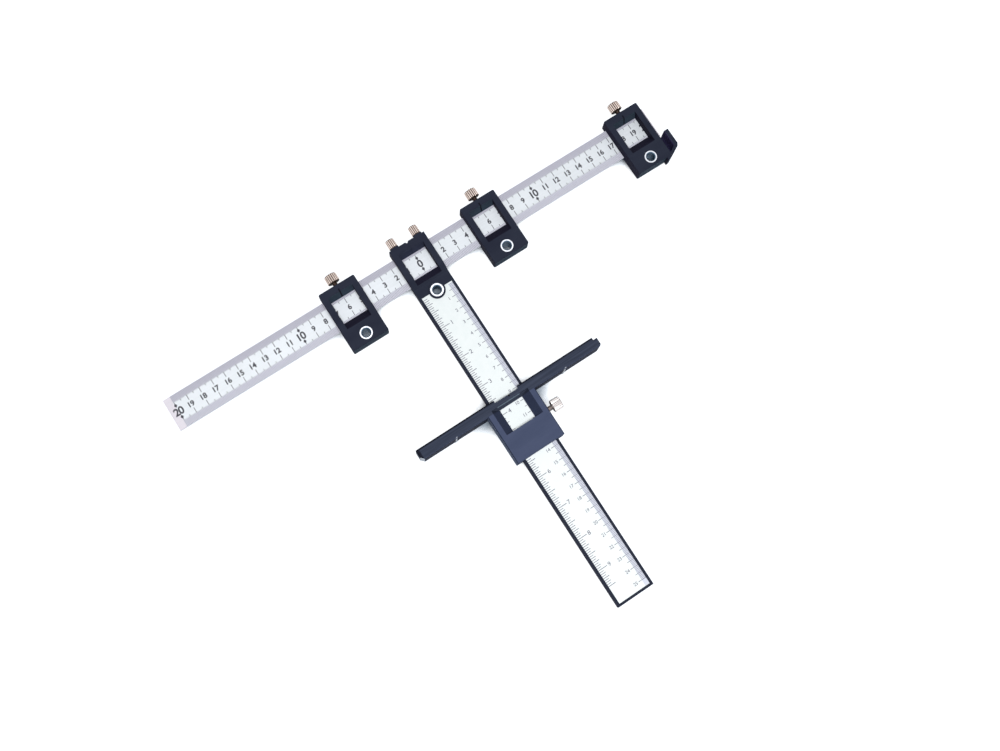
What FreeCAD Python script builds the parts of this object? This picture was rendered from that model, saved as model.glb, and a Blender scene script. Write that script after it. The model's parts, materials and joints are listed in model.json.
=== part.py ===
import FreeCAD, Part

import os

import Sketcher

# Drilling guide ruler, sizes in mm.
# The frame's origin is the centre drill bush's axis on the working face,
# +X runs along the ruler to the hook end, +Y from the arm to the head, +Z up.

doc = FreeCAD.newDocument("drilling_guide_ruler")
sheet = doc.addObject("Spreadsheet::Sheet", "dims")

TOUCH = 0.01

SIZES = [
    # extra length of a cut that passes right through
    ("through", 1.0),
    # ruler
    ("ruler_length", 412.0),
    ("ruler_width", 25.0),
    ("ruler_thick", 2.0),
    ("ruler_low", 1.5),
    ("ruler_line", 24.5),
    ("ruler_zero", 0.8),
    ("slide_gap", 0.05),
    # sliding blocks
    ("block_width", 29.5),
    ("block_near", 6.8),
    ("block_far", 41.4),
    ("block_top", 13.0),
    ("edge_round", 0.4),
    ("corner_cut", 0.7),
    ("left_x", -59.6),
    ("right_x", 60.2),
    ("stop_x", 188.2),
    # reading windows
    ("window_width", 20.0),
    ("window_near", 15.8),
    ("window_near_top", 9.1),
    ("window_far", 33.4),
    ("window_far_top", 35.7),
    ("index_width", 1.0),
    ("index_depth", 0.4),
    ("index_end", 38.2),
    # drill bushes
    ("drill_bore", 6.0),
    ("bush_outer", 9.7),
    ("bush_mouth", 0.5),
    ("centre_bush_outer", 10.2),
    ("centre_bush_top", 10.0),
    ("centre_bush_mouth", 0.4),
    ("collar_outer", 12.4),
    # hook of the end stop
    ("hook_reach", 20.0),
    ("hook_thick", 3.4),
    ("hook_drop", 9.0),
    ("hook_tip", 11.5),
    ("hook_bend", 1.6),
    ("hook_corner", 3.7),
    ("hook_corner_run", 1.4),
    ("hook_root_inner", 5.0),
    ("hook_root_outer", 8.7),
    ("hook_root_run", 2.0),
    ("hook_near", 9.3),
    ("hook_foot_run", 4.8),
    # clamp pads
    ("pad_thick", 1.6),
    ("pad_low", 0.3),
    ("pad_top", 11.0),
    ("pad_width", 8.0),
    ("small_pad_width", 5.0),
    ("pad_gap", 0.1),
    # thumb screws of the blocks and the fence
    ("screw_axis", 8.3),
    ("screw_thread", 4.0),
    ("insert_outer", 6.0),
    ("neck_length", 2.8),
    ("knob_outer", 9.5),
    ("knob_length", 6.8),
    ("knob_edge", 0.5),
    ("dog_outer", 2.6),
    ("dog_length", 0.8),
    ("thread_gap", 0.05),
    # small screws of the head
    ("head_screw_x", 9.75),
    ("small_thread", 3.0),
    ("small_insert_outer", 4.4),
    ("small_knob_outer", 6.9),
    ("small_knob_length", 7.7),
    ("small_dog_outer", 1.8),
    # head and arm
    ("arm_width", 29.5),
    ("arm_top", 8.2),
    ("arm_end", 256.7),
    ("head_far", 41.5),
    ("ramp_top", 14.5),
    ("ramp_foot", 8.5),
    ("head_window_width", 20.6),
    ("head_window_near_top", 11.2),
    ("boss_width", 6.2),
    ("boss_proud", 1.1),
    ("boss_low", 4.0),
    ("notch_width", 2.4),
    ("notch_depth", 1.6),
    ("core_width", 22.0),
    ("core_length", 30.0),
    ("core_depth", 5.4),
    ("core_first", 16.0),
    ("core_pitch", 32.0),
    ("core_count", 7),
    # printed scale strip on the arm
    ("strip_width", 25.4),
    ("strip_thick", 0.2),
    ("strip_start", 0.5),
    ("strip_end", 254.8),
    ("recess_floor", 7.6),
    ("recess_gap", 0.1),
    # fence
    ("fence_front", 90.0),
    ("fence_back", 136.7),
    ("fence_width", 39.3),
    ("fence_top", 14.0),
    ("fence_drop", 9.0),
    ("fence_floor", 2.6),
    ("arm_gap", 0.1),
    ("fence_edge", 0.6),
    ("bar_back", 98.2),
    ("bar_left", 74.8),
    ("bar_right", 77.2),
    ("bar_wall", 2.3),
    ("bar_roof", 3.0),
    ("rib_x", 46.0),
    ("rib_round", 0.6),
    ("rib_thick", 2.0),
    ("sight_width", 18.6),
    ("sight_width_top", 30.6),
    ("sight_front", 98.0),
    ("sight_front_top", 95.4),
    ("sight_back", 115.7),
    ("front_notch_width", 20.0),
    ("front_notch_depth", 2.0),
    ("pointer_x", 1.2),
    ("pointer_width", 2.2),
    ("pointer_length", 1.8),
    ("pointer_depth", 1.5),
    ("bar_corner_x", 3.1),
    ("bar_corner_y", 2.0),
    ("bar_left_cut", 2.4),
    ("bar_right_cut", 1.0),
    ("fence_screw_y", 115.7),
    ("fence_screw_z", 5.6),
    ("fence_neck", 4.0),
    ("fence_knob_length", 7.4),
]


class Size:
    """A value together with the sheet expression that gives it."""

    def __init__(self, value, text):
        self.value = value
        self.text = text

    def join(self, other, sign, value):
        text = other.text if isinstance(other, Size) else "%.6g" % other
        return Size(value, "(%s %s %s)" % (self.text, sign, text))

    def __add__(self, other):
        return self.join(other, "+", self.value + plain(other))

    def __sub__(self, other):
        return self.join(other, "-", self.value - plain(other))

    def __mul__(self, other):
        return self.join(other, "*", self.value * plain(other))

    def __truediv__(self, other):
        return self.join(other, "/", self.value / plain(other))

    def __neg__(self):
        return Size(-self.value, "(0 - %s)" % self.text)


def plain(number):
    return number.value if isinstance(number, Size) else number


def fill_sheet():
    known = {}
    for row, (alias, value) in enumerate(SIZES, start=1):
        sheet.set("A%d" % row, alias)
        sheet.set("B%d" % row, "%g" % value)
        sheet.setAlias("B%d" % row, alias)
        known[alias] = Size(value, "dims.%s" % alias)
    doc.recompute()
    return known


D = fill_sheet()
ZERO = D["edge_round"] * 0
V = FreeCAD.Vector


# Sketch and feature helpers

def new_body(name, place=None):
    body = doc.addObject("PartDesign::Body", name)
    body.Label = name
    if place:
        for axis, size in zip("xyz", place):
            body.setExpression("Placement.Base.%s" % axis, size.text)
    return body


def new_sketch(body, role, height=None):
    sketch = body.newObject("Sketcher::SketchObject", "Sketch")
    plane = next(f for f in body.Origin.OriginFeatures if f.Role == role)
    sketch.AttachmentSupport = [(plane, "")]
    sketch.MapMode = "FlatFace"
    if height is not None:
        sketch.AttachmentOffset = FreeCAD.Placement(V(0, 0, height.value), FreeCAD.Rotation())
        sketch.setExpression("AttachmentOffset.Base.z", height.text)
    return sketch


def bind(sketch, kind, geo, point, size):
    index = sketch.addConstraint(Sketcher.Constraint(kind, -1, 1, geo, point, size.value))
    sketch.setExpression("Constraints[%d]" % index, size.text)


def outline(sketch, corners):
    first = sketch.GeometryCount
    count = len(corners)
    spots = [V(a.value, b.value, 0) for a, b in corners]
    for i in range(count):
        sketch.addGeometry(Part.LineSegment(spots[i], spots[(i + 1) % count]))
    for i in range(count):
        following = first + (i + 1) % count
        sketch.addConstraint(Sketcher.Constraint("Coincident", first + i, 2, following, 1))
    for i, (a, b) in enumerate(corners):
        bind(sketch, "DistanceX", first + i, 1, a)
        bind(sketch, "DistanceY", first + i, 1, b)


def box_corners(x0, x1, y0, y1):
    return [(x0, y0), (x1, y0), (x1, y1), (x0, y1)]


def disc(sketch, x, y, across):
    geo = sketch.addGeometry(Part.Circle(V(x.value, y.value, 0), V(0, 0, 1), across.value / 2))
    bind(sketch, "DistanceX", geo, 3, x)
    bind(sketch, "DistanceY", geo, 3, y)
    index = sketch.addConstraint(Sketcher.Constraint("Diameter", geo, across.value))
    sketch.setExpression("Constraints[%d]" % index, across.text)


def pad(body, sketch, length, both_ways=False):
    feature = body.newObject("PartDesign::Pad", "Pad")
    feature.Profile = sketch
    feature.setExpression("Length", length.text)
    if both_ways:
        feature.SideType = "Symmetric"
    sketch.Visibility = False
    doc.recompute()
    return feature


def pocket(body, sketch, length, both_ways=False, away=False):
    before = body.Shape.Volume
    feature = body.newObject("PartDesign::Pocket", "Pocket")
    feature.Profile = sketch
    feature.setExpression("Length", length.text)
    if both_ways:
        feature.SideType = "Symmetric"
    feature.Reversed = away
    sketch.Visibility = False
    doc.recompute()
    if feature.Shape.Volume > before - TOUCH:
        raise RuntimeError("a pocket of %s removed nothing" % body.Label)
    return feature


def prism(body, corners, low, high):
    """Material added between two heights on a plan outline."""
    sketch = new_sketch(body, "XY_Plane", low)
    outline(sketch, corners)
    return pad(body, sketch, high - low)


def cut(body, corners, low, high):
    """Material removed between two heights on a plan outline."""
    sketch = new_sketch(body, "XY_Plane", low)
    outline(sketch, corners)
    return pocket(body, sketch, high - low, away=True)


def cut_across(body, corners, width):
    """Material removed on a side outline in Y and Z, both ways from the body's middle."""
    sketch = new_sketch(body, "YZ_Plane")
    outline(sketch, corners)
    return pocket(body, sketch, width, both_ways=True)


def turned(name, profile, role, axis, place):
    """A turned piece: a half profile of radius and length, spun about one sketch axis."""
    body = new_body(name, place)
    sketch = new_sketch(body, role)
    outline(sketch, profile)
    feature = body.newObject("PartDesign::Revolution", "Revolution")
    feature.Profile = sketch
    feature.ReferenceAxis = (sketch, [axis])
    feature.Angle = 360
    sketch.Visibility = False
    doc.recompute()
    return body


def round_edges(body, chosen, radius):
    base = body.Tip
    names = ["Edge%d" % (i + 1) for i, e in enumerate(base.Shape.Edges) if chosen(e)]
    feature = body.newObject("PartDesign::Fillet", "Fillet")
    feature.Base = (base, names)
    feature.setExpression("Radius", radius.text)
    doc.recompute()
    return feature


def bevel_edges(body, chosen, size):
    base = body.Tip
    names = ["Edge%d" % (i + 1) for i, e in enumerate(base.Shape.Edges) if chosen(e)]
    feature = body.newObject("PartDesign::Chamfer", "Chamfer")
    feature.Base = (base, names)
    feature.setExpression("Size", size.text)
    doc.recompute()
    return feature


def level(edge, height):
    return all(abs(v.Z - height) < TOUCH for v in edge.Vertexes)


def spans(edge):
    box = edge.BoundBox
    return box.XMin, box.XMax, box.YMin, box.YMax


# Heights and lines shared by the pieces that fit each other

slot_low = D["ruler_low"] - D["slide_gap"]
slot_high = D["ruler_low"] + D["ruler_thick"] + D["slide_gap"]
slot_near = D["ruler_line"] - D["ruler_width"] / 2 - D["slide_gap"]
slot_far = D["ruler_line"] + D["ruler_width"] / 2 + D["slide_gap"]
pad_back = slot_far + D["pad_thick"]
insert_start = pad_back + D["thread_gap"]


def ruler():
    half = D["ruler_length"] / 2
    edge = D["ruler_width"] / 2
    body = new_body("ruler", (D["ruler_zero"], D["ruler_line"], D["ruler_low"]))
    prism(body, box_corners(-half, half, -edge, edge), ZERO, D["ruler_thick"])
    return body


def ruler_slot(body, width):
    corners = box_corners(slot_near, slot_far, slot_low, slot_high)
    cut_across(body, corners, width + D["through"])


def reading_window(body, width, top, near_top):
    """Window over the ruler with a long slope on its near side and a slight one on its far side."""
    rise = top - slot_high
    far_lean = (D["window_far_top"] - D["window_far"]) / (D["block_top"] - slot_high)
    corners = [
        (D["window_near"], slot_high - D["slide_gap"]),
        (D["window_far"], slot_high - D["slide_gap"]),
        (D["window_far"], slot_high),
        (D["window_far"] + far_lean * rise, top),
        (near_top, top),
        (D["window_near"], slot_high),
    ]
    cut_across(body, corners, width)


def index_line(body, top):
    """Narrow groove that marks the bush's axis, down the window's far wall and onto the top."""
    deep = D["index_depth"]
    corners = [
        (D["window_far"], slot_high + deep),
        (D["window_far"] + deep, slot_high + deep),
        (D["window_far_top"] + deep, top - deep),
        (D["index_end"], top - deep),
        (D["index_end"], top + deep),
        (D["window_far_top"], top + deep),
        (D["window_far_top"], top),
    ]
    cut_across(body, corners, D["index_width"])


def pad_pocket(body, x, width):
    """Pocket in the slot's far wall, open to the slot and through the working face."""
    half = width / 2 + D["pad_gap"]
    corners = box_corners(x - half, x + half, slot_far - D["slide_gap"] * 2, pad_back)
    cut(body, corners, -D["slide_gap"], D["pad_top"] + D["pad_gap"])


def insert_hole(body, x, far, across):
    sketch = new_sketch(body, "XZ_Plane", -far)
    disc(sketch, x, D["screw_axis"], across)
    pocket(body, sketch, far - pad_back + D["slide_gap"], away=True)


def cut_corners(half, near, far, cut_size):
    """Plan outline of a block with its four corners cut off."""
    return [
        (cut_size - half, near),
        (half - cut_size, near),
        (half, near + cut_size),
        (half, far - cut_size),
        (half - cut_size, far),
        (cut_size - half, far),
        (-half, far - cut_size),
        (-half, near + cut_size),
    ]


def slider_body(name, x, hook=False):
    body = new_body(name, (x, ZERO, ZERO))
    far = D["block_far"]
    corners = cut_corners(D["block_width"] / 2, -D["block_near"], far, D["corner_cut"])
    prism(body, corners, ZERO, D["block_top"])
    if hook:
        add_hook(body)
    ruler_slot(body, D["block_width"])
    reading_window(body, D["window_width"], D["block_top"], D["window_near_top"])
    index_line(body, D["block_top"])
    pad_pocket(body, ZERO, D["pad_width"])
    insert_hole(body, ZERO, far, D["insert_outer"])
    sketch = new_sketch(body, "XY_Plane")
    disc(sketch, ZERO, ZERO, D["bush_outer"])
    pocket(body, sketch, (D["block_top"] + D["through"]) * 2, both_ways=True)

    def outer_top(edge):
        x0, x1, y0, y1 = spans(edge)
        if not level(edge, D["block_top"].value) or len(edge.Vertexes) < 2:
            return False
        margin = D["edge_round"].value
        beside = max(abs(x0), abs(x1)) > D["window_width"].value / 2 + margin
        beyond = y1 > D["index_end"].value + margin or y0 < -D["bush_outer"].value / 2 - margin
        return beside or beyond

    round_edges(body, outer_top, D["edge_round"])
    return body


def add_hook(body):
    """Tall J-shaped wall that catches the end of the work."""
    inner = D["hook_reach"]
    outer = inner + D["hook_thick"]
    side = D["block_width"] / 2
    bend = -D["hook_bend"]
    foot_x = side - D["hook_foot_run"]
    wall = [
        (outer, D["hook_tip"]),
        (inner, D["hook_tip"]),
        (inner, bend),
        (side - D["slide_gap"], -D["hook_root_inner"]),
        (foot_x, -D["hook_root_inner"]),
        (foot_x, -D["hook_near"]),
        (side - D["hook_root_run"], -D["hook_root_outer"]),
        (outer - D["hook_corner_run"], -D["hook_corner"]),
        (outer, bend),
    ]
    prism(body, wall, ZERO, D["block_top"])
    face = box_corners(inner, outer, bend, D["hook_tip"])
    prism(body, face, -D["hook_drop"], ZERO + D["slide_gap"])


def drill_bush(name, x, outer, top, mouth):
    bore = D["drill_bore"] / 2
    rim = outer / 2
    profile = [
        (bore, ZERO),
        (rim, ZERO),
        (rim, top),
        (bore + mouth, top),
        (bore, top - mouth),
    ]
    return turned(name, profile, "XZ_Plane", "V_Axis", (x, ZERO, ZERO))


def insert(name, x, y, z, start, length, outer, thread, role="XY_Plane", axis="V_Axis"):
    """Threaded brass ring, pressed into the moulding."""
    hole = thread / 2
    rim = outer / 2
    profile = box_corners(hole, rim, start, start + length)
    if axis == "H_Axis":
        profile = box_corners(start, start + length, hole, rim)
    return turned(name, profile, role, axis, (x, y, z))


def clamp_pad_profile(body, x, width, dog):
    half = width / 2
    prism(body, box_corners(x - half, x + half, slot_far, pad_back), D["pad_low"], D["pad_top"])
    sketch = new_sketch(body, "XZ_Plane", -pad_back)
    disc(sketch, x, D["screw_axis"], dog + D["pad_gap"] * 2)
    pocket(body, sketch, D["dog_length"] + D["pad_gap"], away=True)


def clamp_pad(name, x):
    body = new_body(name, (x, ZERO, ZERO))
    clamp_pad_profile(body, ZERO, D["pad_width"], D["dog_outer"])
    return body


def thumb_screw(name, x, z, tip, knob_start, knob_length, thread, dog, knob):
    """Screw along +Y: dog point, thread, and a head to be held by finger and thumb."""
    radius = thread / 2 - D["thread_gap"]
    end = knob_start + knob_length
    rim = knob / 2
    edge = D["knob_edge"]
    corners = [
        (ZERO, tip - D["dog_length"]),
        (dog / 2, tip - D["dog_length"]),
        (dog / 2, tip),
        (radius, tip),
        (radius, knob_start),
        (rim, knob_start),
        (rim, end - edge),
        (rim - edge, end),
        (ZERO, end),
    ]
    return turned(name, corners, "XY_Plane", "V_Axis", (x, ZERO, z))


def slider_set(prefix, x, hook=False):
    far = D["block_far"]
    slider_body(prefix + "_body", x, hook)
    drill_bush(prefix + "_drill_bush", x, D["bush_outer"], D["block_top"], D["bush_mouth"])
    insert(prefix + "_thread_insert", x, ZERO, D["screw_axis"], insert_start,
           far - insert_start, D["insert_outer"], D["screw_thread"])
    clamp_pad(prefix + "_clamp_pad", x)
    thumb_screw(prefix + "_thumb_screw", x, D["screw_axis"], pad_back + D["pad_gap"],
                far + D["neck_length"], D["knob_length"], D["screw_thread"],
                D["dog_outer"], D["knob_outer"])


# Head and arm, moulded in one

def head_arm():
    body = new_body("head_arm")
    top = D["block_top"]
    side = [
        (-D["arm_end"], ZERO),
        (D["head_far"], ZERO),
        (D["head_far"], top),
        (D["ramp_top"], top),
        (D["ramp_foot"], D["arm_top"]),
        (-D["arm_end"], D["arm_top"]),
    ]
    sketch = new_sketch(body, "YZ_Plane")
    outline(sketch, side)
    pad(body, sketch, D["arm_width"], both_ways=True)
    half = D["boss_width"] / 2
    root = D["head_far"] - D["boss_proud"]
    for x in (-D["head_screw_x"], D["head_screw_x"]):
        boss = box_corners(x - half, x + half, root, D["head_far"] + D["boss_proud"])
        prism(body, boss, D["boss_low"], top)
    strip_half = D["strip_width"] / 2 + D["recess_gap"]
    recess = box_corners(-strip_half, strip_half, -D["strip_end"] - D["recess_gap"],
                         D["strip_start"] + D["recess_gap"])
    cut(body, recess, D["recess_floor"], top)
    sketch = new_sketch(body, "XY_Plane")
    disc(sketch, ZERO, ZERO, D["collar_outer"])
    pad(body, sketch, D["centre_bush_top"])
    ruler_slot(body, D["arm_width"])
    reading_window(body, D["head_window_width"], top, head_near_top())
    head_index(body)
    for x in (-D["head_screw_x"], D["head_screw_x"]):
        pad_pocket(body, x, D["small_pad_width"])
        insert_hole(body, x, D["head_far"] + D["boss_proud"], D["small_insert_outer"])
    sketch = new_sketch(body, "XY_Plane")
    disc(sketch, ZERO, ZERO, D["centre_bush_outer"])
    pocket(body, sketch, (top + D["through"]) * 2, both_ways=True)
    arm_cores(body)
    return body


def head_near_top():
    """The head's window slope meets the arm's top at the named line, carried up to the head's top."""
    lean = (D["window_near"] - D["head_window_near_top"]) / (D["arm_top"] - slot_high)
    return D["window_near"] - lean * (D["block_top"] - slot_high)


def head_index(body):
    """Notch in the head's far edge and a groove, both on the centre bush's line."""
    half = D["notch_width"] / 2
    far = D["head_far"] + D["slide_gap"]
    corners = [(-half, far), (ZERO, D["head_far"] - D["notch_depth"]), (half, far)]
    cut(body, corners, D["arm_top"], D["block_top"] + D["slide_gap"])
    index_line(body, D["block_top"])


def arm_cores(body):
    """Row of hollows in the arm's underside that keep its walls even."""
    half = D["core_width"] / 2
    first = -D["core_first"]
    feature = cut(body, box_corners(-half, half, first - D["core_length"], first),
                  -D["slide_gap"], D["core_depth"])
    row = body.newObject("PartDesign::LinearPattern", "LinearPattern")
    row.Originals = [feature]
    row.Direction = (feature.Profile[0], ["V_Axis"])
    row.Reversed = True
    row.setExpression("Occurrences", D["core_count"].text)
    row.setExpression("Length", (D["core_pitch"] * (D["core_count"] - 1)).text)
    body.Tip = row
    doc.recompute()
    return row


def arm_scale():
    body = new_body("arm_scale", (ZERO, ZERO, D["recess_floor"]))
    half = D["strip_width"] / 2
    prism(body, box_corners(-half, half, -D["strip_end"], D["strip_start"]), ZERO, D["strip_thick"])
    sketch = new_sketch(body, "XY_Plane")
    disc(sketch, ZERO, ZERO, D["collar_outer"] + D["recess_gap"])
    pocket(body, sketch, (D["strip_thick"] + D["through"]) * 2, both_ways=True)
    return body


def head_pair(name, build):
    """Two like pieces of the head in one node, as separate solids."""
    left = build(name + "_left", -D["head_screw_x"])
    right = build(name + "_right", D["head_screw_x"])
    group = doc.addObject("Part::Compound", name)
    group.Label = name
    group.Links = [left, right]
    doc.recompute()
    return group


def small_insert(name, x):
    far = D["head_far"] + D["boss_proud"]
    return insert(name, x, ZERO, D["screw_axis"], insert_start, far - insert_start,
                  D["small_insert_outer"], D["small_thread"])


def small_pad(name, x):
    body = new_body(name, (x, ZERO, ZERO))
    clamp_pad_profile(body, ZERO, D["small_pad_width"], D["small_dog_outer"])
    return body


def head_screw(name, x):
    return thumb_screw(name, x, D["screw_axis"], pad_back + D["pad_gap"],
                       D["head_far"] + D["boss_proud"] + D["slide_gap"],
                       D["small_knob_length"], D["small_thread"], D["small_dog_outer"],
                       D["small_knob_outer"])


# Fence that slides on the arm

def fence_body():
    body = new_body("fence_body")
    half = D["fence_width"] / 2
    front = -D["fence_front"]
    back = -D["fence_back"]
    bar_back = -D["bar_back"]
    top = D["fence_top"]
    bar = [
        (D["bar_left_cut"] - D["bar_left"], bar_back),
        (D["bar_right"] - D["bar_right_cut"], bar_back),
        (D["bar_right"], bar_back + D["bar_right_cut"]),
        (D["bar_right"], front - D["bar_corner_y"]),
        (D["bar_right"] - D["bar_corner_x"], front - D["bar_corner_y"]),
        (D["bar_right"] - D["bar_corner_x"], front),
        (-D["bar_left"], front),
        (-D["bar_left"], bar_back + D["bar_left_cut"]),
    ]
    prism(body, bar, -D["fence_drop"], top)
    prism(body, box_corners(-half, half, back, front - D["bar_wall"]), -D["fence_floor"], top)

    def outer_top(edge):
        return level(edge, top.value)

    bevel_edges(body, outer_top, D["fence_edge"])
    sketch = new_sketch(body, "XY_Plane", -D["fence_drop"])
    disc(sketch, -D["rib_x"], bar_back, D["rib_round"] * 2)
    disc(sketch, D["rib_x"], bar_back, D["rib_round"] * 2)
    pad(body, sketch, top + D["fence_drop"] - D["fence_edge"])
    bar_hollows(body)
    passage = D["arm_width"] / 2 + D["arm_gap"]
    sketch = new_sketch(body, "XZ_Plane", D["fence_front"] - D["through"])
    outline(sketch, box_corners(-passage, passage, -D["arm_gap"], D["arm_top"] + D["arm_gap"]))
    pocket(body, sketch, D["fence_back"] - D["fence_front"] + D["through"] * 2, away=True)
    sight_window(body)
    notch = D["front_notch_width"] / 2
    ledge = front - D["front_notch_depth"]
    cut(body, box_corners(-notch, notch, ledge, front + D["slide_gap"]),
        D["arm_top"], top + D["slide_gap"])
    point_half = D["pointer_width"] / 2
    pointer = [
        (D["pointer_x"] - point_half, ledge + D["slide_gap"]),
        (D["pointer_x"], ledge - D["pointer_length"]),
        (D["pointer_x"] + point_half, ledge + D["slide_gap"]),
    ]
    cut(body, pointer, top - D["pointer_depth"], top + D["slide_gap"])
    sketch = new_sketch(body, "YZ_Plane", passage - D["through"])
    disc(sketch, -D["fence_screw_y"], D["fence_screw_z"], D["insert_outer"])
    pocket(body, sketch, half - passage + D["through"] * 2, away=True)
    return body


def bar_hollows(body):
    """Channels in the bar's underside, parted by a rib inside each outer mark."""
    near = -D["bar_back"] + D["bar_wall"]
    far = -D["fence_front"] - D["bar_wall"]
    web = D["rib_thick"] / 2
    inner = D["fence_width"] / 2
    outer = D["bar_left"] - D["bar_corner_x"] - D["bar_wall"]
    for a, b in ((inner, D["rib_x"] - web), (D["rib_x"] + web, outer)):
        for x0, x1 in ((-b, -a), (a, b)):
            cut(body, box_corners(x0, x1, near, far), -D["fence_drop"] - D["through"],
                D["fence_top"] - D["bar_roof"])


def sight_window(body):
    """Opening over the arm's scale, wide at the top, with sloped sides and a sloped front."""
    low = new_sketch(body, "XY_Plane", D["arm_top"])
    half = D["sight_width"] / 2
    outline(low, box_corners(-half, half, -D["sight_back"], -D["sight_front"]))
    high = new_sketch(body, "XY_Plane", D["fence_top"])
    wide = D["sight_width_top"] / 2
    outline(high, box_corners(-wide, wide, -D["sight_back"], -D["sight_front_top"]))
    loft = body.newObject("PartDesign::SubtractiveLoft", "SubtractiveLoft")
    loft.Profile = low
    loft.Sections = [high]
    loft.Ruled = True
    low.Visibility = False
    high.Visibility = False
    doc.recompute()
    return loft


def fence_fittings():
    wall = D["arm_width"] / 2 + D["arm_gap"]
    half = D["fence_width"] / 2
    z = D["fence_screw_z"]
    y = -D["fence_screw_y"]
    start = wall + D["slide_gap"]
    insert("fence_thread_insert", ZERO, y, z, start, half - start,
           D["insert_outer"], D["screw_thread"], "XY_Plane", "H_Axis")
    radius = D["screw_thread"] / 2 - D["thread_gap"]
    knob_start = half + D["fence_neck"]
    end = knob_start + D["fence_knob_length"]
    rim = D["knob_outer"] / 2
    edge = D["knob_edge"]
    profile = [
        (wall, ZERO),
        (wall, radius - edge),
        (wall + edge, radius),
        (knob_start, radius),
        (knob_start, rim),
        (end - edge, rim),
        (end, rim - edge),
        (end, ZERO),
    ]
    turned("fence_thumb_screw", profile, "XY_Plane", "H_Axis", (ZERO, y, z))


def build_all():
    ruler()
    slider_set("left_slider", D["left_x"])
    slider_set("right_slider", D["right_x"])
    slider_set("end_stop", D["stop_x"], hook=True)
    head_arm()
    arm_scale()
    drill_bush("centre_bush", ZERO, D["centre_bush_outer"], D["centre_bush_top"],
               D["centre_bush_mouth"])
    head_pair("head_thread_inserts", small_insert)
    head_pair("head_clamp_pads", small_pad)
    head_screw("head_screw_left", -D["head_screw_x"])
    head_screw("head_screw_right", D["head_screw_x"])
    fence_body()
    fence_fittings()


NODES = ["ruler"]
for prefix in ("left_slider", "right_slider", "end_stop"):
    for piece in ("body", "drill_bush", "thread_insert", "clamp_pad", "thumb_screw"):
        NODES.append("%s_%s" % (prefix, piece))
NODES += [
    "head_arm",
    "arm_scale",
    "centre_bush",
    "head_thread_inserts",
    "head_clamp_pads",
    "head_screw_left",
    "head_screw_right",
    "fence_body",
    "fence_thread_insert",
    "fence_thumb_screw",
]


def write_out():
    for item in doc.Objects:
        if "Invalid" in item.State or "Error" in item.State:
            raise RuntimeError("%s is %s" % (item.Label, item.State))
    os.makedirs("parts", exist_ok=True)
    for name in NODES:
        shape = doc.getObject(name).Shape
        if shape.isNull() or not shape.isValid():
            raise RuntimeError("%s has no valid shape" % name)
        shape.exportStep("parts/%s.step" % name)
        print(name, len(shape.Solids), round(shape.Volume, 1))


build_all()
doc.recompute()
write_out()
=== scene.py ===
import json
import math
from collections import namedtuple

import bmesh
import bpy
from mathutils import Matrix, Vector


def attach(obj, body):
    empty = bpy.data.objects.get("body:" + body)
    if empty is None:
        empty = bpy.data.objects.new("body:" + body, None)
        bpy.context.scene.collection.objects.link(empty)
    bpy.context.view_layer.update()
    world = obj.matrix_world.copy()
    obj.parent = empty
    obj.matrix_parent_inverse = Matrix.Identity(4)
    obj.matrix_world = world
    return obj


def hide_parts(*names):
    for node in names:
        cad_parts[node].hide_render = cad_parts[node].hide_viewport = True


# Drilling guide ruler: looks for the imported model, in its own frame

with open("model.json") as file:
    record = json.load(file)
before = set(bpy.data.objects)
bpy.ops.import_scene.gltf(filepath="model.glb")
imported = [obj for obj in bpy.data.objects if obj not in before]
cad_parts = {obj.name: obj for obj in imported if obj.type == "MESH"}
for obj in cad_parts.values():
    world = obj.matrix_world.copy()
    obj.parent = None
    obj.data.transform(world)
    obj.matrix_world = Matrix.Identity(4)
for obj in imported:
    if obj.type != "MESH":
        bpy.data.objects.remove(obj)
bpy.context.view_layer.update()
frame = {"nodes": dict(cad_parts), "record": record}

# The scene is in metres. The lengths below are in millimetres.
MM = 0.001
NODES = frame["nodes"]
SCENE = bpy.context.scene

# The part's own places
RULER_TOP = 3.5
RULER_LINE = 24.5
RULER_ZERO = 0.8
RULER_HALF_WIDTH = 12.5
STRIP_TOP = 7.8
STRIP_HALF_WIDTH = 12.7
BLOCK_TOP = 13.0
COLLAR_TOP = 10.0
BORE_RADIUS = 3.0
RIB_PLACES = {"left": -46.0, "right": 46.0}
BAR_FACE = -98.2
BAR_LOW = -8.95
WORK_FLOOR = -9.0
BLOCKS = {"left_slider": -59.6, "right_slider": 60.2, "end_stop": 188.2}

# Printing: thickness of the ink, half length of the ruler's field and inner edge of its bands
INK_THICK = 0.02
FIELD_HALF_LENGTH = 200.5
BAND_EDGE = 7.4

# Where painted light and shade, the bar's tone and the ruler's bare ends set in, from no change to
# all of it
HOOK_START = (203.0, 203.5)
BLOCKS_START = (25.0, 35.0)
BAR_START = (-98.3, -97.5)
BAR_FAR_EDGE = (-91.6, -90.8)
BAR_FAR_ASIDE = (10.0, 11.0)
BAR_LOW_ASIDE = (18.5, 19.5)
BAR_CUT_END = (-72.2, -73.0)
BARE_LEFT = (-199.6, -199.8)
BARE_RIGHT = (201.2, 201.4)

# How squarely a face looks along an axis, from not at all to wholly
SQUARE_ON = (-0.90, -0.96)

# Places of the colour sockets in a Mix node
MIX_FIRST, MIX_SECOND, MIX_RESULT = 6, 7, 2
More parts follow.
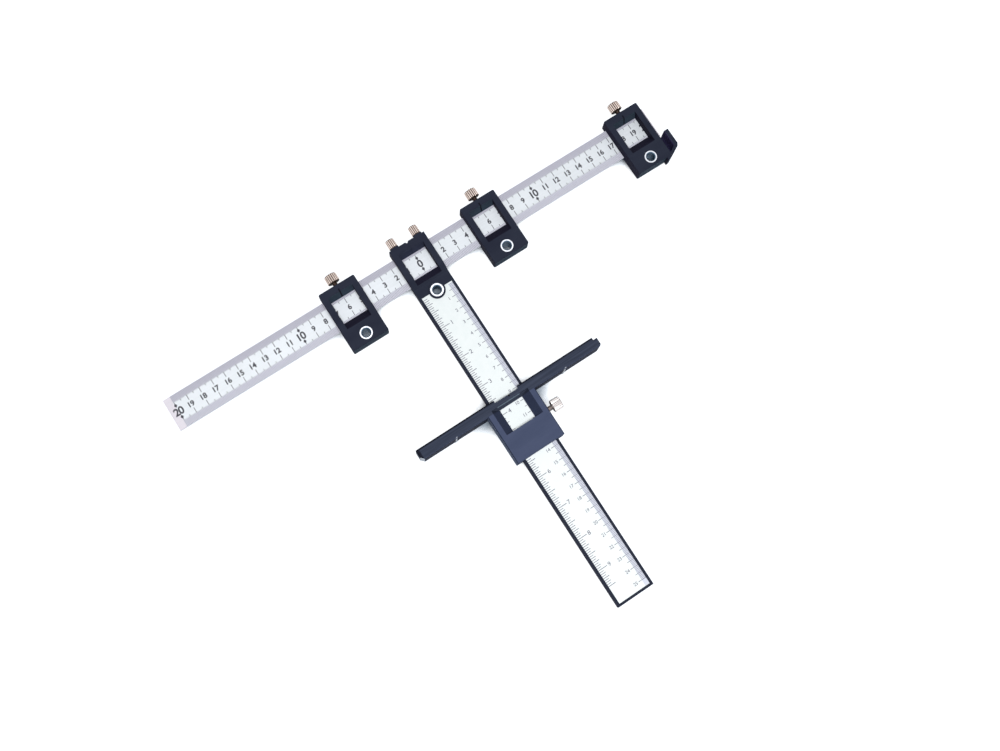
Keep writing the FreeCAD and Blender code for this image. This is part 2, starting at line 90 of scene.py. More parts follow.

# Screws: places along the axis, radii, knurl, and where the painted shade of thread and roots ends
Screw = namedtuple("Screw", [
    "dog_start", "tip", "head_start", "head_end", "dog", "thread", "knob", "teeth", "depth",
    "dark_end", "root"])
BLOCK_SCREW = Screw(37.95, 38.75, 44.2, 51.0, 1.3, 1.94, 4.74, 18, 0.5, 44.3, 4.46)
HEAD_SCREW = Screw(37.95, 38.75, 42.65, 50.35, 0.9, 1.44, 3.44, 14, 0.4, 43.6, 3.2)
FENCE_SCREW = Screw(14.86, 15.0, 23.65, 31.05, 1.5, 1.94, 4.74, 18, 0.5, 23.75, 4.3)
SCREW_LINE = 8.3
HEAD_SCREWS = {"left": -9.75, "right": 9.75}
FENCE_SCREW_PLACE = (0, -115.7, 5.6)
STEPS_PER_TOOTH = 8

# Light, and the view with its angles in degrees
SKY_LEVEL, SKY_WHITE = 0.20, 1.0
LAMP_PLACE = (-80.0, -340.0, 1600.0)
LAMP_TARGET = (0.0, -80.0, 0.0)
LAMP_WIDTH = 700.0
LAMP_POWER = 20.4
CAMERA_SENSOR = 36.0
CAMERA_REACH = 20000.0
CAMERA_LENS = 46.8
CAMERA_PLACE = (-107.917, -178.392, 927.479)
CAMERA_ANGLES = (13.3304, -3.2236, -33.1989)
CAMERA_SHIFT = (-0.0187, -0.0974)


# Node helpers for the materials

def new_material(name):
    material = bpy.data.materials.new(name)
    material.use_nodes = True
    tree = material.node_tree
    shader = tree.nodes["Principled BSDF"]
    return material, tree, shader


def object_coords(tree, stretch=(1, 1, 1)):
    coords = tree.nodes.new("ShaderNodeTexCoord")
    mapping = tree.nodes.new("ShaderNodeMapping")
    mapping.inputs["Scale"].default_value = stretch
    tree.links.new(coords.outputs["Object"], mapping.inputs["Vector"])
    return mapping.outputs["Vector"]


def noise(tree, vector, scale, detail=3.0, rough=0.5):
    node = tree.nodes.new("ShaderNodeTexNoise")
    node.inputs["Scale"].default_value = scale
    node.inputs["Detail"].default_value = detail
    node.inputs["Roughness"].default_value = rough
    tree.links.new(vector, node.inputs["Vector"])
    return node.outputs["Fac"]


def ramp(tree, factor, stops):
    node = tree.nodes.new("ShaderNodeValToRGB")
    elements = node.color_ramp.elements
    while len(elements) < len(stops):
        elements.new(0.5)
    for element, (place, colour) in zip(elements, stops):
        element.position = place
        element.color = (*colour, 1)
    tree.links.new(factor, node.inputs["Fac"])
    return node.outputs["Color"]


def mapped(tree, value, source, target):
    """The value's source range laid over the target range and held within it."""
    node = tree.nodes.new("ShaderNodeMapRange")
    node.inputs["From Min"].default_value, node.inputs["From Max"].default_value = source
    node.inputs["To Min"].default_value, node.inputs["To Max"].default_value = target
    tree.links.new(value, node.inputs["Value"])
    return node.outputs["Result"]


def spread(tree, factor, low, high):
    """The middle of a noise's range laid over low to high."""
    return mapped(tree, factor, (0.3, 0.7), (low, high))


def between(tree, value, zero, one):
    """0 up to the first level, 1 from the second one on."""
    return mapped(tree, value, (zero, one), (0, 1))


def past(tree, place, span):
    """0 up to the first place in mm, 1 from the second one on."""
    return between(tree, place, span[0] * MM, span[1] * MM)


def maths(tree, kind, first, second=None):
    """One step of arithmetic. The second term is a socket, a number or nothing."""
    node = tree.nodes.new("ShaderNodeMath")
    node.operation = kind
    tree.links.new(first, node.inputs[0])
    if isinstance(second, (int, float)):
        node.inputs[1].default_value = second
    elif second is not None:
        tree.links.new(second, node.inputs[1])
    return node.outputs[0]


def product(tree, first, second):
    return maths(tree, "MULTIPLY", first, second)


def split(tree, vector):
    parts = tree.nodes.new("ShaderNodeSeparateXYZ")
    tree.links.new(vector, parts.inputs["Vector"])
    return parts.outputs


def facing(tree):
    """The parts of the direction that a face looks in."""
    geometry = tree.nodes.new("ShaderNodeNewGeometry")
    return split(tree, geometry.outputs["True Normal"])


def bump(tree, shader, height, distance, strength):
    node = tree.nodes.new("ShaderNodeBump")
    node.inputs["Distance"].default_value = distance
    node.inputs["Strength"].default_value = strength
    tree.links.new(height, node.inputs["Height"])
    tree.links.new(node.outputs["Normal"], shader.inputs["Normal"])


def multiplied(tree, factor, colour, tint):
    """The colour, times the tint where the factor is 1. The tint is a colour or a socket."""
    mix = tree.nodes.new("ShaderNodeMix")
    mix.data_type = "RGBA"
    mix.blend_type = "MULTIPLY"
    tree.links.new(factor, mix.inputs["Factor"])
    tree.links.new(colour, mix.inputs[MIX_FIRST])
    if isinstance(tint, tuple):
        mix.inputs[MIX_SECOND].default_value = (*tint, 1)
    else:
        tree.links.new(tint, mix.inputs[MIX_SECOND])
    return mix.outputs[MIX_RESULT]


def dark_walls(tree):
    """Mask of painted shade: 1 on walls and slopes, 0 on level faces and on those that face -Y."""
    normal = facing(tree)
    steep = between(tree, maths(tree, "ABSOLUTE", normal["Z"]), 0.97, 0.80)
    return product(tree, steep, between(tree, normal["Y"], -0.35, -0.20))


def moulded_plastic(name, dark, light, level, rough, wall_shade_tint, shade=None):
    """Moulded plastic with a fine grain, and painted shade that darkens its walls and slopes."""
    material, tree, shader = new_material(name)
    vector = object_coords(tree)
    grain = noise(tree, vector, 2600.0, 2.0, 0.6)
    flow = noise(tree, object_coords(tree, (0.35, 1, 1)), 70.0, 4.0, 0.6)
    colour = ramp(tree, flow, [(0.3, dark), (0.72, light)])
    # Painted shade: walls and slopes take the shade tint
    colour = multiplied(tree, dark_walls(tree), colour, wall_shade_tint)
    # Painted light and shade, or the bar's tone, by place and facing
    if shade:
        colour = shade(tree, vector, colour)
    tree.links.new(colour, shader.inputs["Base Color"])
    tree.links.new(spread(tree, flow, rough - 0.05, rough + 0.07), shader.inputs["Roughness"])
    shader.inputs["Specular IOR Level"].default_value = level
    bump(tree, shader, grain, 0.00006, 0.5)
    return material


def near_walls(tree, vector, colour):
    """Painted light: upright faces towards -Y are lighter, greener on the blocks, and so is the
    hook's inside."""
    normal = facing(tree)
    x = split(tree, vector)["X"]
    # Painted light on the inside faces of the stop's hook
    hook = product(tree, past(tree, x, HOOK_START), between(tree, normal["X"], -0.40, -0.60))
    near = between(tree, normal["Y"], *SQUARE_ON)
    block = product(tree, near, past(tree, maths(tree, "ABSOLUTE", x), BLOCKS_START))
    # Painted light on the upright faces towards -Y
    colour = multiplied(tree, near, colour, (1.5, 1.5, 1.6))
    colour = multiplied(tree, block, colour, (1.0, 1.27, 1.06))
    return multiplied(tree, hook, colour, (3.2, 2.8, 3.6))


def bar_shade(tree, vector, colour):
    """The fence's bar is darker than the box and streaky. Painted shade makes it near black at its
    edges, and painted light makes its walls towards -X the lightest."""
    parts = split(tree, vector)
    x, y = parts["X"], parts["Y"]
    aside = maths(tree, "ABSOLUTE", x)
    normal = facing(tree)
    streaks = noise(tree, object_coords(tree, (0.03, 1, 1)), 800.0, 3.0, 0.6)
    bar = ramp(tree, streaks, [(0.35, (0.50, 0.49, 0.44)), (0.65, (0.76, 0.74, 0.66))])
    colour = multiplied(tree, past(tree, y, BAR_START), colour, bar)
    # Painted shade: the far edge, the top of the cut end and the walls towards -Y go near black
    far = product(tree, past(tree, aside, BAR_FAR_ASIDE), past(tree, y, BAR_FAR_EDGE))
    low = product(tree, past(tree, aside, BAR_LOW_ASIDE), between(tree, normal["Y"], -0.85, -0.95))
    upper = product(tree, maths(tree, "MAXIMUM", far, past(tree, x, BAR_CUT_END)),
                    between(tree, normal["Z"], 0.40, 0.60))
    colour = multiplied(tree, maths(tree, "MAXIMUM", upper, low), colour, (0.30, 0.28, 0.30))
    # Painted light on the walls towards -X
    return multiplied(tree, between(tree, normal["X"], *SQUARE_ON), colour, (4.6, 4.3, 3.4))


def bare_ends(tree, vector, colour):
    """The ruler's unprinted ends are darker and warmer than the ground of its scales."""
    x = split(tree, vector)["X"]
    bare = maths(tree, "MAXIMUM", past(tree, x, BARE_LEFT), past(tree, x, BARE_RIGHT))
    return multiplied(tree, bare, colour, (0.93, 0.84, 0.87))


def brushed_metal(name, dark, light, metallic, rough, stretch, scale=900.0, depth=0.00002,
                  shade=None):
    """Metal with fine streaks, drawn out along the axis whose stretch is small."""
    material, tree, shader = new_material(name)
    streaks = noise(tree, object_coords(tree, stretch), scale, 4.0, 0.65)
    cloud = noise(tree, object_coords(tree), 60.0, 3.0, 0.5)
    mixed = maths(tree, "ADD", product(tree, streaks, 0.6), product(tree, cloud, 0.4))
    colour = ramp(tree, mixed, [(0.35, dark), (0.65, light)])
    if shade:
        colour = shade(tree, object_coords(tree), colour)
    tree.links.new(colour, shader.inputs["Base Color"])
    tree.links.new(spread(tree, streaks, rough - 0.06, rough + 0.08), shader.inputs["Roughness"])
    shader.inputs["Metallic"].default_value = metallic
    bump(tree, shader, streaks, depth, 0.35)
    return material


def printed_film(name, dark, light):
    """White satin film with a faint mottle. The same maker gives the painted highlight."""
    material, tree, shader = new_material(name)
    vector = object_coords(tree)
    mottle = noise(tree, vector, 220.0, 3.0, 0.5)
    colour = ramp(tree, mottle, [(0.35, dark), (0.65, light)])
    tree.links.new(colour, shader.inputs["Base Color"])
    tree.links.new(spread(tree, mottle, 0.36, 0.46), shader.inputs["Roughness"])
    bump(tree, shader, noise(tree, vector, 3000.0, 2.0, 0.5), 0.00002, 0.3)
    return material


def ink(name, dark, light, gloss=0.5):
    """Printing ink, worn a little unevenly. It also makes painted shade and highlights."""
    material, tree, shader = new_material(name)
    shader.inputs["Specular IOR Level"].default_value = gloss
    wear = noise(tree, object_coords(tree), 1800.0, 3.0, 0.6)
    colour = ramp(tree, wear, [(0.35, dark), (0.7, light)])
    tree.links.new(colour, shader.inputs["Base Color"])
    tree.links.new(spread(tree, wear, 0.5, 0.65), shader.inputs["Roughness"])
    return material


MATERIALS = {
    # Plastics: the tint after the colours is painted shade on walls and slopes
    "black_plastic": moulded_plastic(
        "black_plastic", (0.022, 0.026, 0.045), (0.033, 0.039, 0.062), 0.03, 0.70,
        (0.62, 0.50, 0.66), near_walls),
    # The fence's plastic is a lighter copy of the black plastic: painted light
    "fence_plastic": moulded_plastic(
        "fence_plastic", (0.066, 0.084, 0.152), (0.086, 0.106, 0.184), 0.03, 0.70,
        (0.46, 0.47, 0.50), bar_shade),
    "ruler_metal": brushed_metal(
        "ruler_metal", (0.69, 0.73, 0.77), (0.76, 0.80, 0.85), 0.20, 0.45, (0.02, 1, 1),
        shade=bare_ends),
    "bush_steel": brushed_metal(
        "bush_steel", (0.74, 0.77, 0.84), (0.83, 0.86, 0.92), 0.85, 0.28, (1, 1, 0.05), 700.0),
    "insert_brass": brushed_metal(
        "insert_brass", (0.60, 0.42, 0.18), (0.78, 0.60, 0.30), 1.0, 0.32, (1, 1, 1), 500.0),
    "pad_steel": brushed_metal(
        "pad_steel", (0.40, 0.40, 0.41), (0.52, 0.52, 0.53), 1.0, 0.38, (1, 1, 0.1), 600.0),
    "screw_nickel": brushed_metal(
        "screw_nickel", (0.72, 0.60, 0.54), (0.94, 0.81, 0.75), 1.0, 0.36, (1, 0.1, 1), 800.0),
    # Painted light: a lighter copy of the nickel for the fence's screw, and of its groove shade
    "screw_nickel_painted_light": brushed_metal(
        "screw_nickel_painted_light", (0.73, 0.69, 0.68), (0.85, 0.82, 0.82), 1.0, 0.36, (0.1, 1, 1), 800.0),
    # Painted shade for the knurl's roots, the thread and the head's underside
    "screw_painted_shade": brushed_metal(
        "screw_painted_shade", (0.060, 0.040, 0.034), (0.11, 0.080, 0.068), 1.0, 0.50, (1, 1, 1), 800.0),
    "lit_screw_painted_shade": brushed_metal(
        "lit_screw_painted_shade", (0.33, 0.29, 0.28), (0.46, 0.41, 0.41), 1.0, 0.50, (1, 1, 1), 800.0),
    # Painted highlight on the fence's ribs and cut corner
    "painted_highlight": printed_film("painted_highlight", (0.40, 0.44, 0.50), (0.52, 0.56, 0.62)),
    "scale_strip": printed_film("scale_strip", (0.88, 0.95, 0.96), (0.92, 0.98, 0.99)),
    "ruler_ink": ink("ruler_ink", (0.02, 0.02, 0.03), (0.05, 0.05, 0.07)),
    "scale_ink": ink("scale_ink", (0.17, 0.17, 0.22), (0.26, 0.26, 0.32)),
    "ruler_band": ink("ruler_band", (0.59, 0.59, 0.70), (0.65, 0.65, 0.75)),
    "ruler_band_near": ink("ruler_band_near", (0.71, 0.72, 0.83), (0.78, 0.79, 0.90)),
    "strip_band": ink("strip_band", (0.71, 0.75, 0.87), (0.77, 0.81, 0.93)),
    "fine_ink": ink("fine_ink", (0.20, 0.20, 0.25), (0.30, 0.30, 0.36)),
    # Painted shade for the floors of the blocks' index grooves
    "index_painted_shade": ink("index_painted_shade", (0.009, 0.010, 0.016), (0.014, 0.015, 0.024), 0.02),
    # Painted shade for the floor of the fence's pointer
    "groove_painted_shade": ink("groove_painted_shade", (0.003, 0.003, 0.006), (0.006, 0.006, 0.010), 0.02),
    # Painted highlight along the top edge of the fence window's front slope
    "edge_painted_highlight": ink("edge_painted_highlight", (0.13, 0.18, 0.24), (0.18, 0.24, 0.31), 0.1),
    # Painted shade inside the bushes' bores
    "bore_painted_shade": brushed_metal(
        "bore_painted_shade", (0.05, 0.10, 0.16), (0.10, 0.17, 0.25), 0.6, 0.45, (1, 1, 0.05), 500.0),
}

for entry in frame["record"]["subparts"]:
    data = NODES[entry["node"]].data
    data.materials.clear()
    data.materials.append(MATERIALS[entry["material_slot"]])


# Mesh helpers

def made_mesh(name, bm):
    """The mesh of what has been built up, which ends there."""
    bm.normal_update()
    mesh = bpy.data.meshes.new(name)
    bm.to_mesh(mesh)
    bm.free()
    return mesh


def finish_piece(name, mesh, material, body, smooth=False):
    """The mesh as a named piece that rides on its body."""
    piece = bpy.data.objects.new(name, mesh)
    SCENE.collection.objects.link(piece)
    mesh.materials.append(MATERIALS[material])
    for polygon in mesh.polygons:
        polygon.use_smooth = smooth
    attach(piece, body)
    return piece


class Ink:
    """Collects the strokes of one printed scale as thin raised shapes."""

    def __init__(self, top):
        self.bm = bmesh.new()
        self.low = top * MM
        self.high = (top + INK_THICK) * MM

    def shape(self, outline):
        """A raised patch on a counter-clockwise outline in mm."""
        upper = [self.bm.verts.new((x * MM, y * MM, self.high)) for x, y in outline]
        lower = [self.bm.verts.new((x * MM, y * MM, self.low)) for x, y in outline]
        self.bm.faces.new(upper)
        count = len(outline)
        for i in range(count):
            following = (i + 1) % count
            self.bm.faces.new((upper[i], lower[i], lower[following], upper[following]))

    def bar(self, x0, x1, y0, y1):
        self.shape([(x0, y0), (x1, y0), (x1, y1), (x0, y1)])

    def diamond(self, x, y, wide, high):
        self.shape([(x - wide / 2, y), (x, y - high / 2), (x + wide / 2, y), (x, y + high / 2)])

    def text(self, words, x, y, height, bold, spacing):
        """Figures centred on a point, as tall as height. A rim of width bold thickens them."""
        curve = bpy.data.curves.new("figures", "FONT")
        curve.body = words
        curve.size = 1.0
        curve.resolution_u = 4
        curve.bevel_depth = bold
        curve.bevel_resolution = 0
        curve.space_character = spacing
        carrier = bpy.data.objects.new("figures", curve)
        SCENE.collection.objects.link(carrier)
        bpy.context.view_layer.update()
        graph = bpy.context.evaluated_depsgraph_get()
        mesh = bpy.data.meshes.new_from_object(carrier.evaluated_get(graph))
        xs = [v.co.x for v in mesh.vertices]
        ys = [v.co.y for v in mesh.vertices]
        scale = height / (max(ys) - min(ys))
        mid_x = (max(xs) + min(xs)) / 2
        mid_y = (max(ys) + min(ys)) / 2
        made = {}
        upward, digits = 0.01, 4
        for polygon in mesh.polygons:
            if polygon.normal.z < upward:
                continue
            corners = []
            for i in polygon.vertices:
                v = mesh.vertices[i]
                px = round(x + (v.co.x - mid_x) * scale, digits)
                py = round(y + (v.co.y - mid_y) * scale, digits)
                if (px, py) not in made:
                    made[px, py] = self.bm.verts.new((px * MM, py * MM, self.high))
                corners.append(made[px, py])
            if len(set(corners)) == len(corners) and self.bm.faces.get(corners) is None:
                self.bm.faces.new(corners)
        bpy.data.objects.remove(carrier)
        bpy.data.meshes.remove(mesh)
        bpy.data.curves.remove(curve)

    def piece(self, name, material, body, slot):
        return finish_piece(name, made_mesh(name, self.bm), material, body)


# Ruler's printed scales: millimetres from both edges, figures in centimetres both ways from 0

def ruler_scale():
    """Coloured bands, then the marks, thin where they cross the bands, and the figures."""
    for side, name in ((1, "ruler_band"), (-1, "ruler_band_near")):
        band = Ink(RULER_TOP)
        lines = sorted((RULER_LINE + side * BAND_EDGE, RULER_LINE + side * RULER_HALF_WIDTH))
        band.bar(RULER_ZERO - FIELD_HALF_LENGTH, RULER_ZERO + FIELD_HALF_LENGTH, *lines)
        band.piece(name, name, "ruler", "ruler_metal")
    fine = Ink(RULER_TOP + INK_THICK)
    marks = Ink(RULER_TOP + INK_THICK)
    inner_ends = {"mm": 7.1, "half": 5.9, "cm": 3.3, "ten": 5.6}
    widths = {"mm": 0.30, "half": 0.38, "cm": 0.42, "ten": 0.38}
    # Height, weight and spacing of the figures
    figures = {"cm": (4.2, 0.034, 0.95), "ten": (5.9, 0.028, 0.88)}
    diamond_out, diamond_size = 4.6, (2.3, 3.3)
    reach = 200
    for step in range(-reach, reach + 1):
        if step % 100 == 0:
            kind = "ten"
        elif step % 10 == 0:
            kind = "cm"
        elif step % 5 == 0:
            kind = "half"
        else:
            kind = "mm"
        x = RULER_ZERO + step
        thin, half = widths["mm"] / 2, widths[kind] / 2
        for side in (-1, 1):
            near = RULER_LINE + side * inner_ends[kind]
            edge = RULER_LINE + side * RULER_HALF_WIDTH
            change = near if kind == "mm" else RULER_LINE + side * BAND_EDGE
            fine.bar(x - thin, x + thin, min(change, edge), max(change, edge))
            if kind != "mm":
                marks.bar(x - half, x + half, min(near, change), max(near, change))
    fine.piece("ruler_fine_marks", "fine_ink", "ruler", "ruler_metal")
    for number in range(-reach // 10, reach // 10 + 1):
        x = RULER_ZERO + number * 10
        figure = str(abs(number))
        if number % 10 == 0:
            marks.text(figure, x, RULER_LINE, *figures["ten"])
            for side in (-1, 1):
                marks.diamond(x, RULER_LINE + side * diamond_out, *diamond_size)
        else:
            marks.text(figure, x, RULER_LINE, *figures["cm"])
    marks.piece("ruler_marks", "ruler_ink", "ruler", "ruler_metal")


# Arm's printed scales: inches in sixteenths on the left, millimetres on the right

def arm_scales():
    """The strip's band, inch marks along its left edge and millimetre marks along its right."""
    band = Ink(STRIP_TOP)
    band_edge, near_end, far_end = 9.3, -254.6, -0.4
    band.bar(band_edge, STRIP_HALF_WIDTH, near_end, far_end)
    band.piece("arm_scale_band", "strip_band", "head_and_arm", "scale_strip")
    fine = Ink(STRIP_TOP + INK_THICK)
    marks = Ink(STRIP_TOP + INK_THICK)
    inch, parts = 25.4, 16
    inch_marks, mm_marks = 152, 250
    left_edge, right_edge = -STRIP_HALF_WIDTH, STRIP_HALF_WIDTH
    ends = {16: -9.4, 8: -8.7, 4: -7.8, 2: -6.8, 1: -5.5}
    # Line of the figures, then their height, weight and spacing
    inch_line, inch_figures = -3.5, (3.2, 0.012, 1.0)
    cm_line, cm_figures = 4.2, (2.5, 0.012, 0.95)
    for step in range(1, inch_marks + 1):
        y = -step * inch / parts
        division = parts // math.gcd(step, parts)
        wide = 0.46 if division == parts else 0.50
        if clear_of_collar(left_edge, y):
            marks.bar(left_edge, ends[division], y - wide / 2, y + wide / 2)
        if division == 1:
            marks.text(str(step // parts), inch_line, y, *inch_figures)
    for step in range(1, mm_marks + 1):
        y = -step
        if step % 10 == 0:
            inner, wide = 6.6, 0.46
            marks.text(str(step // 10), cm_line, y, *cm_figures)
        elif step % 5 == 0:
            inner, wide = 7.4, 0.44
        else:
            inner, wide = 9.1, 0.30
        target = marks if step % 5 == 0 else fine
        target.bar(inner, right_edge, y - wide / 2, y + wide / 2)
    fine.piece("arm_fine_marks", "fine_ink", "head_and_arm", "scale_strip")
    marks.piece("arm_scale_marks", "scale_ink", "head_and_arm", "scale_strip")


def clear_of_collar(x, y):
    collar = 6.5
    return math.hypot(x, y) > collar


# Turned and knurled screws

def turned_mesh(rings, around):
    """A closed skin round the axis. A ring is a height and a function from angle to radius."""
    bm = bmesh.new()
    rows = []
    for height, radius in rings:
        row = []
        for i in range(around):
            angle = 2 * math.pi * i / around
            r = radius(angle)
            row.append(bm.verts.new((r * math.cos(angle), r * math.sin(angle), height)))
        rows.append(row)
    for lower, upper in zip(rows, rows[1:]):
        for i in range(around):
            j = (i + 1) % around
            bm.faces.new((lower[i], lower[j], upper[j], upper[i]))
    for row, height, flip in ((rows[0], rings[0][0], True), (rows[-1], rings[-1][0], False)):
        centre = bm.verts.new((0, 0, height))
        for i in range(around):
            j = (i + 1) % around
            corners = (row[j], row[i], centre) if flip else (row[i], row[j], centre)
            bm.faces.new(corners)
    return bm


def round_ring(height, radius):
    return height, lambda angle: radius


def knurled_ring(height, radius, depth, teeth):
    return height, lambda angle: radius - depth * (0.5 - 0.5 * math.cos(teeth * angle)) ** 0.8


def screw_rings(screw):
    """Rings from the tip outwards: dog point, thread with its turns, and the knurled head."""
    start, end, knob = screw.head_start, screw.head_end, screw.knob
    lead, neck = 0.2, screw.thread - 0.15
    point = [(screw.dog_start, screw.dog * 0.8), (screw.dog_start + lead, screw.dog),
             (screw.tip, screw.dog), (screw.tip, screw.thread - lead)]
    shoulder = [(start - 0.05, neck), (start, neck), (start, knob - 0.75),
                (start + 0.12, knob - 0.55)]
    grip = [(start + 0.45, knob), (start + 0.6, knob), (start + 1.0, knob), (end - 0.75, knob),
            (end - 0.45, knob - 0.08)]
    crown = [(end - 0.1, knob - 0.62), (end, knob - 0.85), (end, knob * 0.45),
             (end - 0.25, knob * 0.38)]
    rings = [round_ring(*spot) for spot in point]
    pitch = screw.thread * 0.36
    height = screw.tip + 0.1
    while height < start - 0.15:
        rings.append(thread_ring(height, screw.thread, pitch))
        height += pitch / 5
    rings += [round_ring(*spot) for spot in shoulder]
    rings += [knurled_ring(*spot, screw.depth, screw.teeth) for spot in grip]
    return rings + [round_ring(*spot) for spot in crown]


def thread_ring(height, crest, pitch):
    half_depth = 0.13

    def radius(angle):
        wave = math.cos(2 * math.pi * height / pitch - angle)
        return crest - half_depth + half_depth * wave
    return height, radius


def shade_grooves(bm, screw):
    """Painted shade: the knurl's roots, the thread and the head's underside are darker than the
    polished crests.
    """
    for face in bm.faces:
        middle = face.calc_center_median()
        inside = math.hypot(middle.x, middle.y) < screw.root < face_reach(face)
        if middle.z < screw.dark_end or inside:
            face.material_index = 1


def face_reach(face):
    """The farthest that a face comes from the axis, with a margin."""
    margin = 1.0
    return max(math.hypot(v.co.x, v.co.y) for v in face.verts) + margin


def place_screw(name, screw, axis_point, along_x, body, metals=("screw_nickel", "screw_painted_shade")):
    """The screw is made on its own axis and then laid along +Y or +X."""
    bm = turned_mesh(screw_rings(screw), screw.teeth * STEPS_PER_TOOTH)
    shade_grooves(bm, screw)
    px, py, pz = axis_point
    for v in bm.verts:
        a, b, length = v.co
        if along_x:
            v.co = Vector((length + px, a + py, b + pz)) * MM
        else:
            v.co = Vector((b + px, length + py, a + pz)) * MM
    mesh = made_mesh(name, bm)
    piece = finish_piece(name, mesh, metals[0], body, smooth=True)
    mesh.materials.append(MATERIALS[metals[1]])
    mesh.set_sharp_from_angle(angle=math.radians(50))
    return piece


def bush_piece(name, x, outer, top, body):
    """Steel ring with a bright face, and painted shade on its bore and mouth, open right through.
    """
    around = 96
    edge, mouth, low, inset = 0.25, 0.7, 0.02, 0.01
    bore, rim = BORE_RADIUS, outer / 2 - inset
    skin = [(bore, low), (rim, low), (rim, top - edge), (rim - edge, top), (bore + mouth, top),
            (bore, top - mouth)]
    bore_rows = 4
    bm = bmesh.new()
    rows = []
    for radius, height in skin:
        angles = [2 * math.pi * i / around for i in range(around)]
        rows.append([bm.verts.new(((x + radius * math.cos(a)) * MM, radius * math.sin(a) * MM,
                                   height * MM)) for a in angles])
    for k in range(len(rows)):
        lower, upper = rows[k], rows[(k + 1) % len(rows)]
        for i in range(around):
            j = (i + 1) % around
            face = bm.faces.new((lower[i], lower[j], upper[j], upper[i]))
            # The mouth and the bore get painted shade
            face.material_index = 1 if k >= bore_rows else 0
    bmesh.ops.recalc_face_normals(bm, faces=bm.faces)
    mesh = made_mesh(name, bm)
    piece = finish_piece(name, mesh, "bush_steel", body, smooth=True)
    mesh.materials.append(MATERIALS["bore_painted_shade"])
    mesh.set_sharp_from_angle(angle=math.radians(35))
    return piece


def all_bushes():
    outer, centre_outer = 9.7, 10.2
    for block, x in BLOCKS.items():
        ring = bush_piece(block + "_bush_ring", x, outer, BLOCK_TOP, block)
        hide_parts(block + "_drill_bush")
    ring = bush_piece("centre_bush_ring", 0.0, centre_outer, COLLAR_TOP, "head_and_arm")
    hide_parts("centre_bush")


def all_screws():
    for block, x in BLOCKS.items():
        piece = place_screw(block + "_knurled_screw", BLOCK_SCREW, (x, 0, SCREW_LINE), False,
                            block + "_screw")
        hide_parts(block + "_thumb_screw")
    for side, x in HEAD_SCREWS.items():
        piece = place_screw("head_knurled_screw_" + side, HEAD_SCREW, (x, 0, SCREW_LINE), False,
                            "head_screw_" + side)
        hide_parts("head_screw_" + side)
    # The fence's screw takes the lighter copies, painted light
    piece = place_screw("fence_knurled_screw", FENCE_SCREW, FENCE_SCREW_PLACE, True, "fence_screw",
                        ("screw_nickel_painted_light", "lit_screw_painted_shade"))
    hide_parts("fence_thumb_screw")


# Floors of the grooves that mark each bush's axis, with painted shade on the blocks

def index_lines():
    """Each runs up the window's far slope and back across the top, at the groove's depth."""
    deep, half_wide = 0.38, 0.49
    slope_low, slope_high, back, foot = 33.42, 35.72, 38.18, 4.0
    points = [(slope_low + deep, foot), (slope_high + deep, BLOCK_TOP - deep),
              (back, BLOCK_TOP - deep)]
    for body, x in [*BLOCKS.items(), ("head_and_arm", 0.0)]:
        bm = bmesh.new()
        rows = []
        for y, z in points:
            rows.append([bm.verts.new(((x + side * half_wide) * MM, y * MM, z * MM))
                         for side in (-1, 1)])
        for first, second in zip(rows, rows[1:]):
            bm.faces.new((first[0], first[1], second[1], second[0]))
        # Painted shade in the blocks' grooves; the head's keeps its plastic
        shade = "index_painted_shade" if body in BLOCKS else "black_plastic"
        name = body + "_index_line"
        finish_piece(name, made_mesh(name, bm), shade, body)


# Painted highlights on the fence's ribs, cut corner and window lip, and painted shade on the floor
# of its pointer

def fence_marks():
    for side, x in RIB_PLACES.items():
        rib_line("fence_line_" + side, x)
    cut_corner()
    # Painted shade on the floor of the pointer's notch
    pointer_floor, pointer_tip, pointer_back, half_wide = 12.52, (1.2, -93.78), -92.02, 1.08
    pointer = Ink(pointer_floor)
    pointer.shape([pointer_tip, (pointer_tip[0] + half_wide, pointer_back),
                   (pointer_tip[0] - half_wide, pointer_back)])
    pointer.piece("fence_pointer", "groove_painted_shade", "fence", "fence_plastic")
    # Painted highlight along the window's front edge
    bm = bmesh.new()
    left, right = -10.3, 8.4
    low, high = (-96.05, 12.6), (-95.45, 13.95)
    add_patch(bm, [(left, *low), (right, *low), (right, *high), (left, *high)])
    add_fence_piece("fence_window_lip", bm, "edge_painted_highlight")


def rib_line(name, x):
    """Painted highlight: a half round skin down the rib, closed on top, and a patch on the chamfer
    above it.
    """
    radius, high, steps = 0.62, 13.35, 12
    bm = bmesh.new()
    rows = []
    for i in range(steps + 1):
        angle = math.pi + math.pi * i / steps
        a = x + radius * math.cos(angle)
        b = BAR_FACE + radius * math.sin(angle)
        rows.append([bm.verts.new((a * MM, b * MM, z * MM)) for z in (BAR_LOW, high)])
    for first, second in zip(rows, rows[1:]):
        bm.faces.new((first[0], second[0], second[1], first[1]))
    bm.faces.new([row[1] for row in rows])
    low, top, lean = (BAR_FACE - 0.02, 13.419), (-97.60, 13.999), 0.58
    add_patch(bm, [(x - radius, *low), (x + radius, *low), (x + radius + lean, *top),
                   (x - radius + lean, *top)])
    add_fence_piece(name, bm)


def cut_corner():
    # Painted highlight on the face of the cut corner
    out, high = 0.02, 13.3
    bm = bmesh.new()
    near, far = (-72.45 - out, -98.15 - out), (-74.75 - out, -95.85 - out)
    add_patch(bm, [(*far, BAR_LOW), (*near, BAR_LOW), (*near, high), (*far, high)])
    add_fence_piece("fence_cut_corner", bm)


def add_patch(bm, corners):
    bm.faces.new([bm.verts.new((a * MM, b * MM, z * MM)) for a, b, z in corners])


def add_fence_piece(name, bm, material="painted_highlight"):
    finish_piece(name, made_mesh(name, bm), material, "fence")


# Floor, light and camera

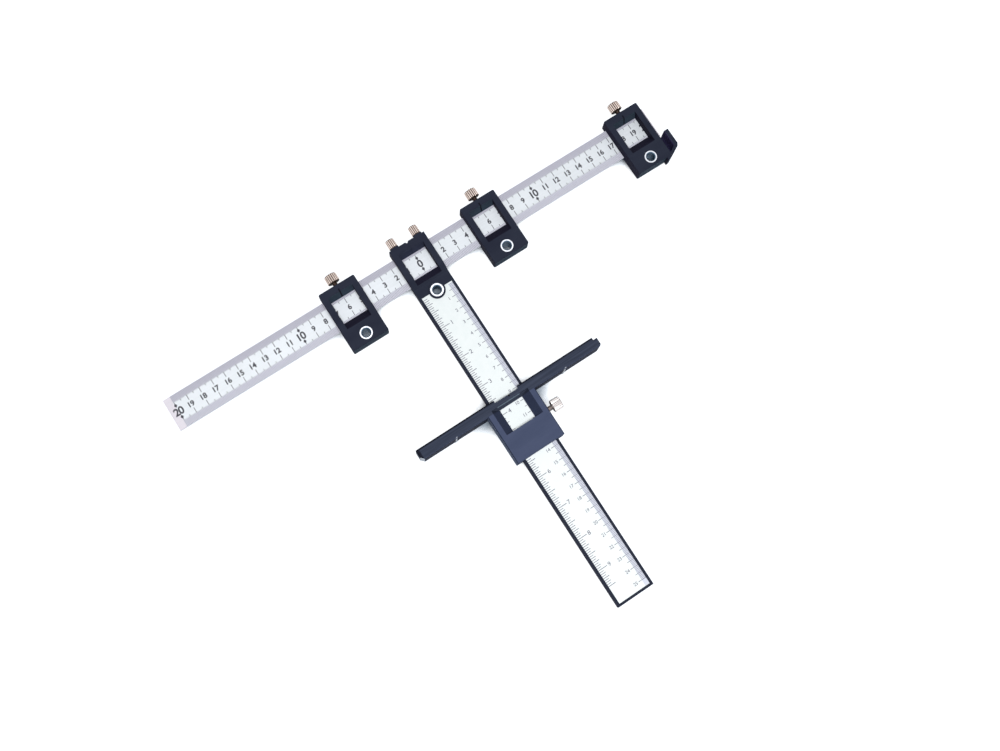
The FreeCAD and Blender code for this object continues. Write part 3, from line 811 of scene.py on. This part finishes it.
def floor_material():
    """White floor. In the camera's view it is lifted to white where nothing stands over it."""
    material, tree, shader = new_material("floor_white")
    shader.inputs["Base Color"].default_value = (0.35, 0.41, 0.48, 1)
    shader.inputs["Roughness"].default_value = 0.9
    shader.inputs["Specular IOR Level"].default_value = 0.0
    reach, covered, uncovered, white = 20.0, 0.38, 0.50, 0.93
    rays = tree.nodes.new("ShaderNodeLightPath").outputs
    seen = maths(tree, "MAXIMUM", rays["Is Camera Ray"], rays["Is Glossy Ray"])
    open_sky = tree.nodes.new("ShaderNodeAmbientOcclusion")
    open_sky.inputs["Distance"].default_value = reach * MM
    lift = product(tree, between(tree, open_sky.outputs["AO"], covered, uncovered), seen)
    shader.inputs["Emission Color"].default_value = (1, 1, 1, 1)
    tree.links.new(product(tree, lift, white), shader.inputs["Emission Strength"])
    return material


def add_floor():
    size, gap = 4000.0, 0.05
    z = WORK_FLOOR - gap
    bm = bmesh.new()
    add_patch(bm, [(-size, -size, z), (size, -size, z), (size, size, z), (-size, size, z)])
    mesh = made_mesh("floor", bm)
    mesh.materials.append(floor_material())
    floor = bpy.data.objects.new("floor", mesh)
    SCENE.collection.objects.link(floor)


def add_lamp():
    """One wide round lamp high over the near side."""
    lamp = bpy.data.lights.new("overhead", "AREA")
    lamp.shape = "DISK"
    lamp.size = LAMP_WIDTH * MM
    lamp.energy = LAMP_POWER
    holder = bpy.data.objects.new("overhead", lamp)
    SCENE.collection.objects.link(holder)
    place, target = (Vector([a * MM for a in spot]) for spot in (LAMP_PLACE, LAMP_TARGET))
    holder.location = place
    holder.rotation_euler = (target - place).to_track_quat("-Z", "Y").to_euler()


def add_world():
    """A dim even light that looks white in the camera's view and in reflections."""
    world = bpy.data.worlds.new("studio")
    SCENE.world = world
    world.use_nodes = True
    tree = world.node_tree
    background = tree.nodes["Background"]
    rays = tree.nodes.new("ShaderNodeLightPath").outputs
    other = maths(tree, "ADD", rays["Is Glossy Ray"], rays["Is Transmission Ray"])
    seen = maths(tree, "ADD", rays["Is Camera Ray"], other)
    background.inputs["Color"].default_value = (1, 1, 1, 1)
    level = mapped(tree, seen, (0, 1), (SKY_LEVEL, SKY_WHITE))
    tree.links.new(level, background.inputs["Strength"])


def add_camera():
    lens = bpy.data.cameras.new("camera")
    lens.sensor_width = CAMERA_SENSOR
    lens.lens = CAMERA_LENS
    lens.shift_x, lens.shift_y = CAMERA_SHIFT
    lens.clip_end = CAMERA_REACH * MM
    camera = bpy.data.objects.new("camera", lens)
    SCENE.collection.objects.link(camera)
    camera.location = Vector(CAMERA_PLACE) * MM
    camera.rotation_euler = [math.radians(a) for a in CAMERA_ANGLES]
    SCENE.camera = camera


ruler_scale()
arm_scales()
all_bushes()
all_screws()
index_lines()
fence_marks()
add_floor()
add_world()
add_lamp()
add_camera()
SCENE.view_settings.view_transform = "Standard"
